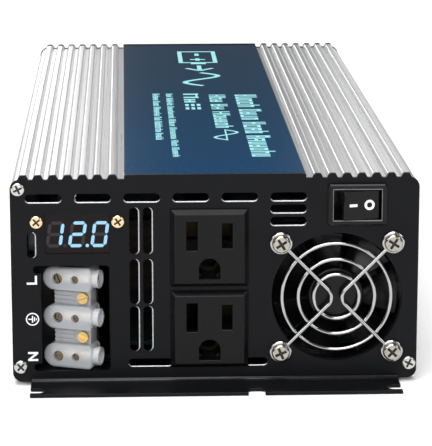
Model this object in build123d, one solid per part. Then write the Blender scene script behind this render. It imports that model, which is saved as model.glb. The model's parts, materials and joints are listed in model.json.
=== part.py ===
from build123d import *
import math
import os

# Power inverter: ribbed aluminium extrusion between two black end panels, on a flanged bottom
# plate. Millimetres. X runs across the front, Y from front to back, Z up. The origin is the middle
# of the bottom of the bounding box. Heights called "above the panel foot" are measured from the
# lower edge of the end panels, which stand on the bottom plate.

# ---- driving dimensions -----------------------------------------------------------------------
PANEL_W = 145.0            # end panel width
PANEL_H = 75.4             # end panel height at its highest
PANEL_T = 1.5
BODY_L = 320.0             # outer face of the front panel to outer face of the rear panel
PLATE_T = 1.2              # bottom plate thickness
FLANGE_L = 16.0            # flange beyond each end panel
FLANGE_W = 132.0
BEND_R = 1.4               # fillet in the corner between a flange and its end panel
PLATE_SETBACK = 8.0        # plate corners beside each flange stop this far behind the end panel

FRONT = -BODY_L / 2        # outer face of the front panel
REAR = BODY_L / 2
INNER_FRONT = FRONT + PANEL_T
INNER_REAR = REAR - PANEL_T

# scalloped top: seven ribs each side of a flat zone
RIB_FIRST = 36.3
RIB_PITCH = 5.25
RIB_COUNT = 7
RIB_H = 1.6
RIB_BASE = 3.9
RIB_TOP = 2.2
FLAT_W = 64.4
VALLEY_H = PANEL_H - RIB_H
PANEL_CORNER_R = 3.5

# extrusion
SHELL_HALF_W = 72.2
SHELL_DROP = 0.3           # the shell stays this much inside the panel outline at the top
WALL_SIDE = 2.8
WALL_TOP = 2.5
LABEL_T = 0.3
BOSS_R = 2.4
BOSS_BORE_R = 1.3
LIP_W = 7.9
LIP_T = 2.0
GROOVE_R = 1.0
GROOVE_PITCH = 6.6
GROOVE_COUNT = 8
GROOVE_FIRST = 14.0

# corner screws, above the panel foot
SCREW_X = 69.6
SCREW_TOP = 70.6
SCREW_BOTTOM = 5.8
BOTTOM_SCREW_X = 65.5
BOTTOM_SCREW_Y = (-120.0, 0.0, 120.0)

# vents
VENT_H = 3.0
VENT_L = 12.8
VENT_ROW_Z = 67.2
VENT_ROW_FIRST = -60.75
VENT_ROW_PITCH = 17.35
VENT_ROW_COUNT = 6

# sockets
OUTLET_X = -2.1
OUTLET_LOWER_Z = 19.1
OUTLET_PITCH = 29.8
OUTLET_W = 27.8
OUTLET_H = 28.2
OUTLET_SKIRT = 0.7
OUTLET_BEVEL = 1.6
OUTLET_RISE = 2.1
OUTLET_NECK = 25.2
OUTLET_DEPTH = 17.0

# rocker switch
SWITCH_X = 50.4
SWITCH_Z = 64.2
BEZEL_W = 20.8
BEZEL_H = 14.9
BEZEL_T = 1.9
SWITCH_BODY_W = 19.0
SWITCH_BODY_H = 12.9
SWITCH_WALL = 0.9
SWITCH_DEPTH = 14.0
ROCKER_PIVOT_IN = 4.8      # pivot axis behind the panel face
ROCKER_REACH = 7.3         # pivot axis to rocker face
ROCKER_W = 12.9
ROCKER_H = 10.5
ROCKER_TILT = 11.0         # degrees each side of the middle
TRUNNION_R = 1.5
RUNNING_FIT = 0.05

# display
DISPLAY_X = -48.8
DISPLAY_Z = 54.4
DISPLAY_W = 23.0
DISPLAY_H = 14.6
DIGIT_H = 9.4
DIGIT_W = 5.7
DIGIT_PITCH = 7.9
DIGIT_SLANT = 8.0
SEGMENT_T = 1.15
SEGMENT_DEPTH = 0.6
DISPLAY_SCREW_X = (-63.3, -34.5)
DISPLAY_SCREW_Z = 58.7

# output terminal block
RECESS_LEFT = -62.0
RECESS_RIGHT = -37.5
RECESS_BOTTOM = 3.9
RECESS_TOP = 42.7
NOTCH_LEFT = -64.8
TRAY_DEPTH = 18.0
TRAY_WALL = 1.2
BLOCK_X = -49.95
BLOCK_IN = 6.4             # block origin behind the panel face
BLOCK_TURN = -20.0
POLE_PITCH = 14.3
POLE_MIDDLE_Z = 22.7
POLE_H = 8.8
POLE_DEPTH = 9.0
POLE_LEFT = -11.0
POLE_RIGHT = 7.5
BARREL_END = 9.6
BARREL_R = 3.35
MOUTH_R = 2.75             # thin-walled mouth of the barrel
MOUTH_START = 6.4
BORE_R = 2.1
BORE_LEFT = -9.0

# fans
FAN_X = 43.4
FAN_Z = 30.3
REAR_FAN_Z = 36.0
FAN_SIZE = 49.6
FAN_DEPTH = 15.0
FAN_HOLE = 20.0            # half of the 40 mm hole square
FAN_OPENING_R = 23.5
FAN_BORE_R = 23.2
BLADE_TIP_R = 22.3
HUB_R = 10.0
BLADE_COUNT = 7
SHAFT_R = 1.5
GUARD_WIRE_R = 0.7
GUARD_RINGS = (8.1, 13.7, 19.55)

# DC side
DC_X = 48.0
DC_Z = 36.0
DC_STUD_R = 4.0
DC_STUD_END = REAR + 15.5
DC_STUD_START = REAR - 15.0
GROUND_X = 28.0
GROUND_Z = 7.5
THREAD_RELIEF = 0.2        # the free end of a stud is this much under its thread

# inside
STANDOFF_H = 6.0
BOARD_T = 1.6
BOARD_HALF_W = 65.5
BOARD_FRONT = -134.0
BOARD_REAR = 130.0
BOARD_TOP = PLATE_T + STANDOFF_H + BOARD_T
WALL_INNER = SHELL_HALF_W - WALL_SIDE


# ---- helpers ----------------------------------------------------------------------------------
def face_plane(y):
    """Plane across the object at depth y, seen from the front: local (x, y) is (X, height)."""
    return Plane(origin=(0, y, PLATE_T), x_dir=(1, 0, 0), z_dir=(0, -1, 0))


def prism(sketch, y_near, y_far):
    """Extrude a front-view sketch between two depths."""
    return extrude(face_plane(y_far) * sketch, amount=y_far - y_near)


def block(x0, x1, y0, y1, z0, z1):
    """Box between two corners."""
    centre = ((x0 + x1) / 2, (y0 + y1) / 2, (z0 + z1) / 2)
    return Pos(*centre) * Box(x1 - x0, y1 - y0, z1 - z0)


def facing_front(x, y, z):
    """Place a piece that was built along +Z so that its +Z points out of the front."""
    return Pos(x, y, z + PLATE_T) * Rot(90, 0, 0)


def facing_rear(x, y, z):
    return Pos(x, y, z + PLATE_T) * Rot(-90, 0, 0)


def save(name, *solids):
    """Write one node: its separate solids together in one STEP file."""
    shape = solids[0] if len(solids) == 1 else Compound(list(solids))
    export_step(shape, f"parts/{name}.step")


def cross_screw(head_r, head_h, shank_r, length):
    """Pan head screw with a cross recess; the underside of the head is at z = 0."""
    head = Pos(0, 0, head_h / 2) * Cylinder(head_r, head_h)
    head = fillet(head.edges().group_by(Axis.Z)[-1], head_h * 0.45)
    shank = Pos(0, 0, -length / 2) * Cylinder(shank_r, length)
    recess_w = head_r * 0.3
    recess_l = head_r * 1.35
    recess = Box(recess_l, recess_w, head_h) + Box(recess_w, recess_l, head_h)
    return head + shank - Pos(0, 0, head_h) * recess


def slotted_screw(head_r, head_h, shank_r, length):
    head = Pos(0, 0, head_h / 2) * Cylinder(head_r, head_h)
    shank = Pos(0, 0, -length / 2) * Cylinder(shank_r, length)
    slot = Pos(0, 0, head_h) * Box(head_r * 3, head_r * 0.3, head_h)
    return head + shank - slot


def hex_nut(across, height, bore_r):
    """Nut standing on z = 0."""
    body = extrude(RegularPolygon(across / 2, 6, major_radius=False), height)
    return body - Pos(0, 0, height / 2) * Cylinder(bore_r, height)


def rib_positions():
    half = [RIB_FIRST + RIB_PITCH * i for i in range(RIB_COUNT)]
    return [-x for x in half] + half


def rib(foot_z, height):
    """One rib of the scalloped top, standing on foot_z."""
    overlap = 0.4
    slope = math.degrees(math.atan2(height, (RIB_BASE - RIB_TOP) / 2))
    bump = Trapezoid(RIB_BASE, height, slope, align=(Align.CENTER, Align.MIN))
    bump = fillet(bump.vertices().group_by(Axis.Y)[-1], 0.7)
    foot = Rectangle(RIB_BASE, overlap, align=(Align.CENTER, Align.MAX))
    return Pos(0, foot_z) * (bump + foot)


# ---- housing ----------------------------------------------------------------------------------
def panel_outline():
    """End panel outline, from the panel foot up, following the ribs of the extrusion."""
    outline = Pos(0, VALLEY_H / 2) * RectangleRounded(PANEL_W, VALLEY_H, PANEL_CORNER_R)
    outline += Pos(0, PANEL_H - 3) * RectangleRounded(FLAT_W, 6, 0.6)
    for x in rib_positions():
        outline += Pos(x, 0) * rib(VALLEY_H, RIB_H)
    return outline


def corner_screw_places(top_right):
    """Corner screw centres; the front panel has none at the top right."""
    places = [(-SCREW_X, SCREW_TOP), (-SCREW_X, SCREW_BOTTOM), (SCREW_X, SCREW_BOTTOM)]
    if top_right:
        places.append((SCREW_X, SCREW_TOP))
    return places


def shell_outline():
    valley = VALLEY_H - SHELL_DROP
    outline = Pos(0, valley / 2) * Rectangle(2 * SHELL_HALF_W, valley)
    outline = fillet(outline.vertices().group_by(Axis.Y)[-1], PANEL_CORNER_R - SHELL_DROP)
    plateau = PANEL_H - SHELL_DROP - LABEL_T
    outline += Pos(0, plateau - 3) * Rectangle(FLAT_W, 6)
    for x in rib_positions():
        outline += Pos(x, 0) * rib(valley, RIB_H)
    for i in range(GROOVE_COUNT):
        for side in (-1, 1):
            outline -= Pos(side * SHELL_HALF_W, GROOVE_FIRST + i * GROOVE_PITCH) * Circle(GROOVE_R)
    return outline


def top_shell():
    outline = shell_outline()
    ceiling = VALLEY_H - WALL_TOP
    profile = outline - Pos(0, ceiling / 2) * Rectangle(2 * WALL_INNER, ceiling)
    bosses = Sketch()
    for x, z in corner_screw_places(True):
        bosses += Pos(x, z) * Circle(BOSS_R)
    for side in (-1, 1):
        bosses += Pos(side * (WALL_INNER - LIP_W / 2), LIP_T / 2) * Rectangle(LIP_W, LIP_T)
    profile += bosses
    for x, z in corner_screw_places(True):
        profile -= Pos(x, z) * Circle(BOSS_BORE_R)
    shell = prism(profile, INNER_FRONT, INNER_REAR)
    for side in (-1, 1):
        for y in BOTTOM_SCREW_Y:
            hole = Cylinder(BOSS_BORE_R, LIP_T)
            shell -= Pos(side * BOTTOM_SCREW_X, y, PLATE_T + LIP_T / 2) * hole
    return shell


def flange_cuts():
    """Openings of one flange, seen from above, with the end panel along local y = 0."""
    slot_w = 5.5
    slot_depth = 5.4
    slot_centre = 11.05
    cuts = Sketch()
    for side in (-1, 1):
        inner = side * (FLANGE_W / 2 - slot_depth + slot_w / 2)
        outer = side * (FLANGE_W / 2 + slot_w)
        cuts += Pos(inner, slot_centre) * Circle(slot_w / 2)
        cuts += Pos((inner + outer) / 2, slot_centre) * Rectangle(abs(outer - inner), slot_w)
    notch_w = 6.0
    notch_depth = 5.0
    notch_x = -14.2
    notch = RectangleRounded(notch_w, 2 * notch_depth, 1.5)
    cuts += Pos(notch_x, FLANGE_L) * notch
    return cuts


def bottom_plate():
    outline = Rectangle(2 * SHELL_HALF_W, BODY_L - 2 * PLATE_SETBACK)
    outline += Rectangle(FLANGE_W, BODY_L + 2 * FLANGE_L)
    for turn in (0, 180):
        outline -= Rot(0, 0, turn) * Pos(0, REAR) * flange_cuts()
    plate = extrude(outline, PLATE_T)
    for end in (-1, 1):
        corner = Pos(end * (REAR + BEND_R / 2), PLATE_T + BEND_R / 2) * Rectangle(BEND_R, BEND_R)
        corner -= Pos(end * (REAR + BEND_R), PLATE_T + BEND_R) * Circle(0.92 * BEND_R)
        plate += extrude(Plane.YZ.offset(-FLANGE_W / 2) * corner, FLANGE_W)
    for side in (-1, 1):
        for y in BOTTOM_SCREW_Y:
            sink = Cone(2.7, BOSS_BORE_R, PLATE_T)
            plate -= Pos(side * BOTTOM_SCREW_X, y, PLATE_T / 2) * sink
    return plate


def countersunk_screws():
    screws = []
    shank_l = 4.0
    for side in (-1, 1):
        for y in BOTTOM_SCREW_Y:
            head = Pos(0, 0, PLATE_T / 2) * Cone(2.65, BOSS_BORE_R - 0.05, PLATE_T)
            shank = Pos(0, 0, PLATE_T + shank_l / 2) * Cylinder(BOSS_BORE_R - 0.05, shank_l)
            recess = Box(2.6, 0.6, 1.2) + Box(0.6, 2.6, 1.2)
            screws.append(Pos(side * BOTTOM_SCREW_X, y, 0) * (head + shank - recess))
    return screws


def front_vents():
    vents = Sketch()
    for i in range(VENT_ROW_COUNT):
        x = VENT_ROW_FIRST + i * VENT_ROW_PITCH
        vents += Pos(x, VENT_ROW_Z) * SlotOverall(VENT_L, VENT_H)
    for z in (62.8, 58.3):
        vents += Pos(25.95, z) * SlotOverall(VENT_L, VENT_H)
    for x in (-28.9, -24.1):
        for z_low, z_high in ((46.7, 63.6), (28.4, 44.8), (11.1, 27.6)):
            slot = SlotOverall(z_high - z_low, 3.2, rotation=90)
            vents += Pos(x, (z_low + z_high) / 2) * slot
    vents += Pos(-65.3, 50.3) * SlotOverall(9.3, 2.9, rotation=90)
    for x_left, x_right in ((-31.0, -15.4), (11.2, 18.7)):
        vents += Pos((x_left + x_right) / 2, 6.8) * SlotOverall(x_right - x_left, 2.8)
    return vents


def fan_cut(x, z):
    cut = Pos(x, z) * Circle(FAN_OPENING_R)
    for dx in (-FAN_HOLE, FAN_HOLE):
        for dz in (-FAN_HOLE, FAN_HOLE):
            cut += Pos(x + dx, z + dz) * Circle(1.9)
    return cut


def recess_cut():
    width = RECESS_RIGHT - RECESS_LEFT
    height = RECESS_TOP - RECESS_BOTTOM
    centre_z = (RECESS_TOP + RECESS_BOTTOM) / 2
    cut = Pos((RECESS_LEFT + RECESS_RIGHT) / 2, centre_z) * RectangleRounded(width, height, 1.5)
    notch_l = 8.0
    notch_h = 2.9
    for z in (RECESS_TOP - notch_h / 2, RECESS_BOTTOM + notch_h / 2):
        cut += Pos(NOTCH_LEFT + notch_l / 2, z) * SlotOverall(notch_l, notch_h)
    return cut


def front_panel():
    sheet = panel_outline() - front_vents() - fan_cut(FAN_X, FAN_Z) - recess_cut()
    for i in (0, 1):
        z = OUTLET_LOWER_Z + i * OUTLET_PITCH
        sheet -= Pos(OUTLET_X, z) * Rectangle(OUTLET_NECK + 0.2, OUTLET_NECK + 0.2)
    sheet -= Pos(SWITCH_X, SWITCH_Z) * Rectangle(SWITCH_BODY_W + 0.2, SWITCH_BODY_H + 0.2)
    sheet -= Pos(DISPLAY_X, DISPLAY_Z) * RectangleRounded(DISPLAY_W, DISPLAY_H, 0.5)
    for x in DISPLAY_SCREW_X:
        sheet -= Pos(x, DISPLAY_SCREW_Z) * Circle(1.3)
    for x, z in corner_screw_places(False):
        sheet -= Pos(x, z) * Circle(1.5)
    return prism(sheet, FRONT, INNER_FRONT)


def rear_panel():
    sheet = panel_outline() - fan_cut(0, REAR_FAN_Z)
    for i in range(VENT_ROW_COUNT):
        x = VENT_ROW_PITCH * (i - (VENT_ROW_COUNT - 1) / 2)
        sheet -= Pos(x, VENT_ROW_Z) * SlotOverall(VENT_L, VENT_H)
    for side in (-1, 1):
        for i in range(3):
            x = side * (38.5 + i * 9.5)
            sheet -= Pos(x, 14.0) * SlotOverall(16.0, 3.2, rotation=90)
        sheet -= Pos(side * DC_X, DC_Z) * Circle(8.1)
    sheet -= Pos(GROUND_X, GROUND_Z) * Circle(2.6)
    for x, z in corner_screw_places(True):
        sheet -= Pos(x, z) * Circle(1.5)
    return prism(sheet, INNER_REAR, REAR)


def label_plate():
    top = PLATE_T + PANEL_H - SHELL_DROP
    half_w = FLAT_W / 2 - 0.1
    return block(-half_w, half_w, INNER_FRONT, INNER_REAR, top - LABEL_T, top)


def front_corner_screws():
    screw = cross_screw(2.45, 1.5, 1.25, 10.0)
    screws = []
    for i, (x, z) in enumerate(corner_screw_places(False)):
        turn = Rot(0, 0, 25 + 20 * i)
        screws.append(facing_front(x, FRONT, z) * turn * screw)
    return screws


def rear_corner_screws():
    screw = cross_screw(2.45, 1.5, 1.25, 10.0)
    screws = []
    for i, (x, z) in enumerate(corner_screw_places(True)):
        turn = Rot(0, 0, 10 + 25 * i)
        screws.append(facing_rear(x, REAR, z) * turn * screw)
    return screws


# ---- sockets ----------------------------------------------------------------------------------
SLOT_Z = 4.7               # blade slots above the socket centre
LONG_SLOT = (-6.25, 3.9, 10.4)
SHORT_SLOT = (6.25, 3.7, 9.0)
EARTH_W = 7.5
EARTH_H = 7.5
EARTH_Z = -7.3
BLADE_CLIP_IN = 9.5        # contacts behind the panel face
EARTH_CLIP_IN = 11.0


def socket_holes():
    """Blade slots and earth opening of one socket, about its centre."""
    holes = Sketch()
    for x, width, height in (LONG_SLOT, SHORT_SLOT):
        holes += Pos(x, SLOT_Z) * Rectangle(width, height)
    arch_r = EARTH_W / 2
    body_h = EARTH_H - arch_r
    holes += Pos(0, EARTH_Z - EARTH_H / 2 + body_h / 2) * Rectangle(EARTH_W, body_h)
    arch = Circle(arch_r) - Pos(0, -arch_r) * Rectangle(2 * EARTH_W, 2 * arch_r)
    holes += Pos(0, EARTH_Z + EARTH_H / 2 - arch_r) * arch
    return holes


def socket_pockets():
    pockets = Sketch()
    for slot in (LONG_SLOT, SHORT_SLOT):
        pockets += Pos(slot[0], SLOT_Z) * Rectangle(6.0, 11.4)
    pockets += Pos(0, EARTH_Z) * Circle(4.2)
    return pockets


def outlet(z):
    place = Pos(OUTLET_X, z)
    taper = math.degrees(math.atan2(OUTLET_BEVEL, OUTLET_RISE))
    skirt_front = FRONT - OUTLET_SKIRT
    body = prism(place * Rectangle(OUTLET_W, OUTLET_H), skirt_front, FRONT)
    bezel = face_plane(skirt_front) * (place * Rectangle(OUTLET_W, OUTLET_H))
    body += extrude(bezel, amount=OUTLET_RISE, taper=taper)
    neck = place * Rectangle(OUTLET_NECK, OUTLET_NECK)
    body += prism(neck, FRONT, FRONT + OUTLET_DEPTH)
    body -= prism(place * socket_holes(), skirt_front - 3, FRONT + 3)
    body -= prism(place * socket_pockets(), FRONT + 2.5, FRONT + OUTLET_DEPTH)
    return body


def outlet_contacts(z):
    """Two blade clips and the earth clip of one socket."""
    contacts = []
    clip_near = FRONT + BLADE_CLIP_IN
    clip_far = FRONT + OUTLET_DEPTH + 4.0
    for slot in (LONG_SLOT, SHORT_SLOT):
        place = Pos(OUTLET_X + slot[0], z + SLOT_Z)
        clip = prism(place * Rectangle(5.9, 8.0), clip_near, FRONT + OUTLET_DEPTH - 1)
        clip -= prism(place * Rectangle(4.1, 8.0), clip_near, FRONT + OUTLET_DEPTH - 2.2)
        clip += prism(place * Rectangle(0.8, 5.0), FRONT + OUTLET_DEPTH - 1, clip_far)
        contacts.append(clip)
    place = Pos(OUTLET_X, z + EARTH_Z)
    ring = prism(place * (Circle(4.1) - Circle(2.9)), FRONT + EARTH_CLIP_IN, FRONT + OUTLET_DEPTH)
    ring += prism(place * (Circle(4.1) - Pos(0, 1) * Rectangle(9, 7)), FRONT + EARTH_CLIP_IN, clip_far)
    contacts.append(ring)
    return contacts


# ---- rocker switch ----------------------------------------------------------------------------
def switch_housing():
    place = Pos(SWITCH_X, SWITCH_Z)
    bezel = prism(place * RectangleRounded(BEZEL_W, BEZEL_H, 0.8), FRONT - BEZEL_T, FRONT)
    bezel = chamfer(bezel.edges().group_by(Axis.Y)[0], 0.5)
    body = prism(place * Rectangle(SWITCH_BODY_W, SWITCH_BODY_H), FRONT, FRONT + SWITCH_DEPTH)
    cavity = Rectangle(SWITCH_BODY_W - 2 * SWITCH_WALL, SWITCH_BODY_H - 2 * SWITCH_WALL)
    cavity_far = FRONT + SWITCH_DEPTH - 1.2
    housing = bezel + body - prism(place * cavity, FRONT - BEZEL_T - 1, cavity_far)
    pivot = Pos(SWITCH_X, FRONT + ROCKER_PIVOT_IN, SWITCH_Z + PLATE_T)
    housing -= pivot * Cylinder(TRUNNION_R + RUNNING_FIT, SWITCH_BODY_H)
    for dx in (-4.0, 4.0):
        tab = prism(Pos(SWITCH_X + dx, SWITCH_Z) * Rectangle(1.0, 5.2), cavity_far - 1, cavity_far + 3)
        housing -= tab
    return housing


def power_rocker():
    """Rocker about its pivot, pressed at its right-hand end."""
    half = ROCKER_W / 2
    face = -ROCKER_REACH
    outline = Polyline(
        (-half, face),
        (0, face + 0.45),
        (half, face),
        (half + 0.5, face + 1.6),
        (3.2, 2.4),
        (-3.2, 2.4),
        (-half - 0.5, face + 1.6),
        close=True,
    )
    body = extrude(make_face(outline), ROCKER_H / 2, both=True)
    body = fillet(body.edges().filter_by(Axis.Z).group_by(Axis.Y)[0], 0.5)
    body += Cylinder(TRUNNION_R, SWITCH_BODY_H - 0.2)
    pivot = Pos(SWITCH_X, FRONT + ROCKER_PIVOT_IN, SWITCH_Z + PLATE_T)
    return pivot * Rot(0, 0, ROCKER_TILT) * body


def switch_terminals():
    tabs = []
    for dx in (-4.0, 4.0):
        place = Pos(SWITCH_X + dx, SWITCH_Z)
        near = FRONT + SWITCH_DEPTH - 2.4
        tabs.append(prism(place * Rectangle(0.8, 4.8), near, FRONT + SWITCH_DEPTH + 8.0))
    return tabs


# ---- display ----------------------------------------------------------------------------------
def segment_bar(x0, z0, x1, z1):
    """One segment between two points of a digit: a bar with pointed ends, slanted."""
    gap = 0.16
    length = math.hypot(x1 - x0, z1 - z0)
    ux = (x1 - x0) / length
    uz = (z1 - z0) / length
    half = SEGMENT_T / 2
    corners = [
        (gap, 0.0),
        (gap + half, half),
        (length - gap - half, half),
        (length - gap, 0.0),
        (length - gap - half, -half),
        (gap + half, -half),
    ]
    lean = math.tan(math.radians(DIGIT_SLANT))
    points = []
    for along, across in corners:
        x = x0 + along * ux - across * uz
        z = z0 + along * uz + across * ux
        points.append((x + z * lean, z))
    return make_face(Polyline(*points, close=True))


def digit_segments():
    """The seven segments a to g of one digit, about its centre."""
    w = (DIGIT_W - SEGMENT_T) / 2
    h = (DIGIT_H - SEGMENT_T) / 2
    return {
        "a": segment_bar(-w, h, w, h),
        "b": segment_bar(w, 0, w, h),
        "c": segment_bar(w, -h, w, 0),
        "d": segment_bar(-w, -h, w, -h),
        "e": segment_bar(-w, -h, -w, 0),
        "f": segment_bar(-w, 0, -w, h),
        "g": segment_bar(-w, 0, w, 0),
    }


SHOWN_DIGITS = ("bc", "abged", "abcdef")


def display_sketches():
    """Lit and unlit segment outlines of the three digits."""
    lit = []
    unlit = []
    for i, shown in enumerate(SHOWN_DIGITS):
        place = Pos(DISPLAY_X + (i - 1) * DIGIT_PITCH, DISPLAY_Z - 0.4)
        for name, bar in digit_segments().items():
            (lit if name in shown else unlit).append(place * bar)
    for i in (0, 1):
        x = DISPLAY_X + (i - 0.5) * DIGIT_PITCH - 0.55
        dot = Pos(x, DISPLAY_Z - 0.4 - DIGIT_H / 2 + 0.6) * Circle(0.62)
        (lit if i == 1 else unlit).append(dot)
    return lit, unlit


DISPLAY_FACE = FRONT + 0.5


def display_module():
    lit, unlit = display_sketches()
    face = Pos(DISPLAY_X, DISPLAY_Z) * RectangleRounded(DISPLAY_W - 0.2, DISPLAY_H - 0.2, 0.5)
    module = prism(face, DISPLAY_FACE, FRONT + 8.0)
    for outline in lit + unlit:
        module -= prism(outline, DISPLAY_FACE, DISPLAY_FACE + SEGMENT_DEPTH)
    return module


def segments(outlines):
    return [prism(outline, DISPLAY_FACE, DISPLAY_FACE + SEGMENT_DEPTH) for outline in outlines]


def display_board():
    x_left = DISPLAY_SCREW_X[0] - 3.2
    x_right = DISPLAY_SCREW_X[1] + 3.2
    outline = Pos((x_left + x_right) / 2, DISPLAY_Z) * RectangleRounded(x_right - x_left, 16, 1)
    for x in DISPLAY_SCREW_X:
        outline -= Pos(x, DISPLAY_SCREW_Z) * Circle(1.2)
    board = prism(outline, FRONT + 8.0, FRONT + 9.4)
    return board


def display_screws():
    screw = cross_screw(2.35, 1.3, 1.1, 11.0)
    screws = []
    for x, angle in zip(DISPLAY_SCREW_X, (40, 35)):
        screws.append(facing_front(x, FRONT, DISPLAY_SCREW_Z) * Rot(0, 0, angle) * screw)
    return screws


# ---- output terminal block --------------------------------------------------------------------
def block_place():
    """Local frame of the turned terminal block: x along the poles, y into the recess."""
    return Pos(BLOCK_X, FRONT + BLOCK_IN, POLE_MIDDLE_Z + PLATE_T) * Rot(0, 0, BLOCK_TURN)


WEB_LEFT = -7.4
WEB_RIGHT = 6.2
WEB_FRONT = -1.2
MOUNT_SCREW_X = 3.6
CLAMP_WELLS = ((-5.2, 1.95), (1.4, 1.5))    # x and radius of the two screw wells of a pole
MOUNT_BORE_R = 1.1


def terminal_tray():
    x_left = NOTCH_LEFT - 1.6
    x_right = RECESS_RIGHT + 1.7
    z_low = PLATE_T + RECESS_BOTTOM - 1.7
    z_high = PLATE_T + RECESS_TOP + 1.7
    far = INNER_FRONT + TRAY_DEPTH
    outer = block(x_left, x_right, INNER_FRONT, far, z_low, z_high)
    inside = block(
        x_left + TRAY_WALL, x_right - TRAY_WALL,
        INNER_FRONT, far - TRAY_WALL,
        z_low + TRAY_WALL, z_high - TRAY_WALL,
    )
    back = POLE_DEPTH / 2
    seat = block_place() * block(-9.0, 7.0, back, back + 14, -17.5, 17.5)
    tray = outer - inside + (seat & inside)
    for side in (-1, 1):
        bore = Rot(90, 0, 0) * Cylinder(MOUNT_BORE_R + 0.1, 30)
        pilot = Pos(MOUNT_SCREW_X, 12.0, side * POLE_PITCH / 2) * bore
        tray -= block_place() * pilot
    return tray


def pole_heights():
    return [-POLE_PITCH, 0.0, POLE_PITCH]


def terminal_block():
    front = -POLE_DEPTH / 2
    body = Part()
    for z in pole_heights():
        length = POLE_RIGHT - POLE_LEFT
        # the pole is round at its left-hand end and square at the barrel
        middle = (POLE_RIGHT + POLE_LEFT) / 2
        outline = Pos(middle, 0) * Rectangle(length, POLE_H)
        outline = fillet(outline.vertices().group_by(Axis.X)[0], POLE_H / 2 - 0.05)
        outline = fillet(outline.vertices().group_by(Axis.X)[-1], 1.6)
        pole = extrude(Plane.XZ.offset(front) * outline, POLE_DEPTH)
        pole = fillet(pole.edges().group_by(Axis.Y)[0], 1.3)
        barrel = Pos((POLE_RIGHT + BARREL_END) / 2 - 0.5, 0, 0)
        barrel *= Rot(0, 90, 0) * Cylinder(BARREL_R, BARREL_END - POLE_RIGHT + 1)
        body += Pos(0, 0, z) * (pole + barrel)
    for side in (-1, 1):
        web_z = side * POLE_PITCH / 2
        half_gap = (POLE_PITCH - POLE_H) / 2 + 0.5
        web = block(WEB_LEFT, WEB_RIGHT, WEB_FRONT, POLE_DEPTH / 2, web_z - half_gap, web_z + half_gap)
        for i in range(3):
            ridge_z = web_z + (i - 1) * 1.6
            web += block(WEB_LEFT, 0.0, WEB_FRONT - 0.5, WEB_FRONT, ridge_z - 0.4, ridge_z + 0.4)
        body += web
    for z in pole_heights():
        bore = Rot(0, 90, 0) * Cylinder(BORE_R, BARREL_END - BORE_LEFT)
        body -= Pos((BARREL_END + BORE_LEFT) / 2, 0, z) * bore
        mouth = Rot(0, 90, 0) * Cylinder(MOUTH_R, BARREL_END - MOUTH_START)
        body -= Pos((BARREL_END + MOUTH_START) / 2, 0, z) * mouth
        for x, radius in CLAMP_WELLS:
            well = Rot(90, 0, 0) * Cylinder(radius, POLE_DEPTH / 2)
            body -= Pos(x, -POLE_DEPTH / 4, z) * well
    for side in (-1, 1):
        hole = Rot(90, 0, 0) * Cylinder(MOUNT_BORE_R + 0.1, 2 * POLE_DEPTH)
        body -= Pos(MOUNT_SCREW_X, 0, side * POLE_PITCH / 2) * hole
    return block_place() * body


def terminal_inserts():
    inserts = []
    length = MOUTH_START - BORE_LEFT - 0.4
    middle = (MOUTH_START + BORE_LEFT) / 2
    for z in pole_heights():
        tube = Cylinder(BORE_R - 0.02, length) - Cylinder(1.5, length)
        inserts.append(block_place() * Pos(middle, 0, z) * Rot(0, 90, 0) * tube)
    return inserts


def terminal_clamp_screws():
    screws = []
    head_l = 1.1
    for z in pole_heights():
        for i, (x, radius) in enumerate(CLAMP_WELLS):
            body = Cylinder(radius - 0.15, head_l)
            slot = Pos(0, 0, head_l / 2) * Box(4.0, 0.6, 0.9)
            screw = Rot(90, 0, 0) * Rot(0, 0, 70 - 50 * i + 3 * z) * (body - slot)
            screws.append(block_place() * Pos(x, -BORE_R - head_l / 2, z) * screw)
    return screws


def terminal_block_screws():
    screws = []
    screw = slotted_screw(2.0, 1.5, MOUNT_BORE_R, 10.0)
    for side in (-1, 1):
        place = Pos(MOUNT_SCREW_X, WEB_FRONT, side * POLE_PITCH / 2)
        screws.append(block_place() * place * Rot(90, 0, 0) * Rot(0, 0, 20 * side) * screw)
    return screws


def live_sleeve():
    length = 1.6
    sleeve = Rot(0, 90, 0) * Cylinder(MOUTH_R - 0.02, length)
    return block_place() * Pos(MOUTH_START + length / 2, 0, POLE_PITCH) * sleeve


# ---- fans -------------------------------------------------------------------------------------
STATOR_R = 8.0
BEARING_R = 3.6
HUB_FRONT = 1.2
HUB_DEPTH = 9.0
MOTOR_BASE_T = 2.0


def local_prism(sketch, y_near, y_far):
    """Extrude a front-view sketch in a fan's own frame, where y = 0 is its mounting face."""
    plane = Plane(origin=(0, y_far, 0), x_dir=(1, 0, 0), z_dir=(0, -1, 0))
    return extrude(plane * sketch, amount=y_far - y_near)


def fan_ring():
    """Outer frame of the fan, with its four screw holes."""
    corner_r = FAN_SIZE / 2 - FAN_HOLE
    outline = RectangleRounded(FAN_SIZE, FAN_SIZE, corner_r) - Circle(FAN_BORE_R)
    holes = Sketch()
    for dx in (-FAN_HOLE, FAN_HOLE):
        for dz in (-FAN_HOLE, FAN_HOLE):
            holes += Pos(dx, dz) * Circle(1.9)
    frame = local_prism(outline - holes, 0, FAN_DEPTH)
    # the waist between the two corner flanges
    waist = Rectangle(2 * FAN_SIZE, 2 * FAN_SIZE) - Circle(FAN_SIZE / 2 - 0.1)
    return frame - local_prism(waist, 3.0, FAN_DEPTH - 3.0)


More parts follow.
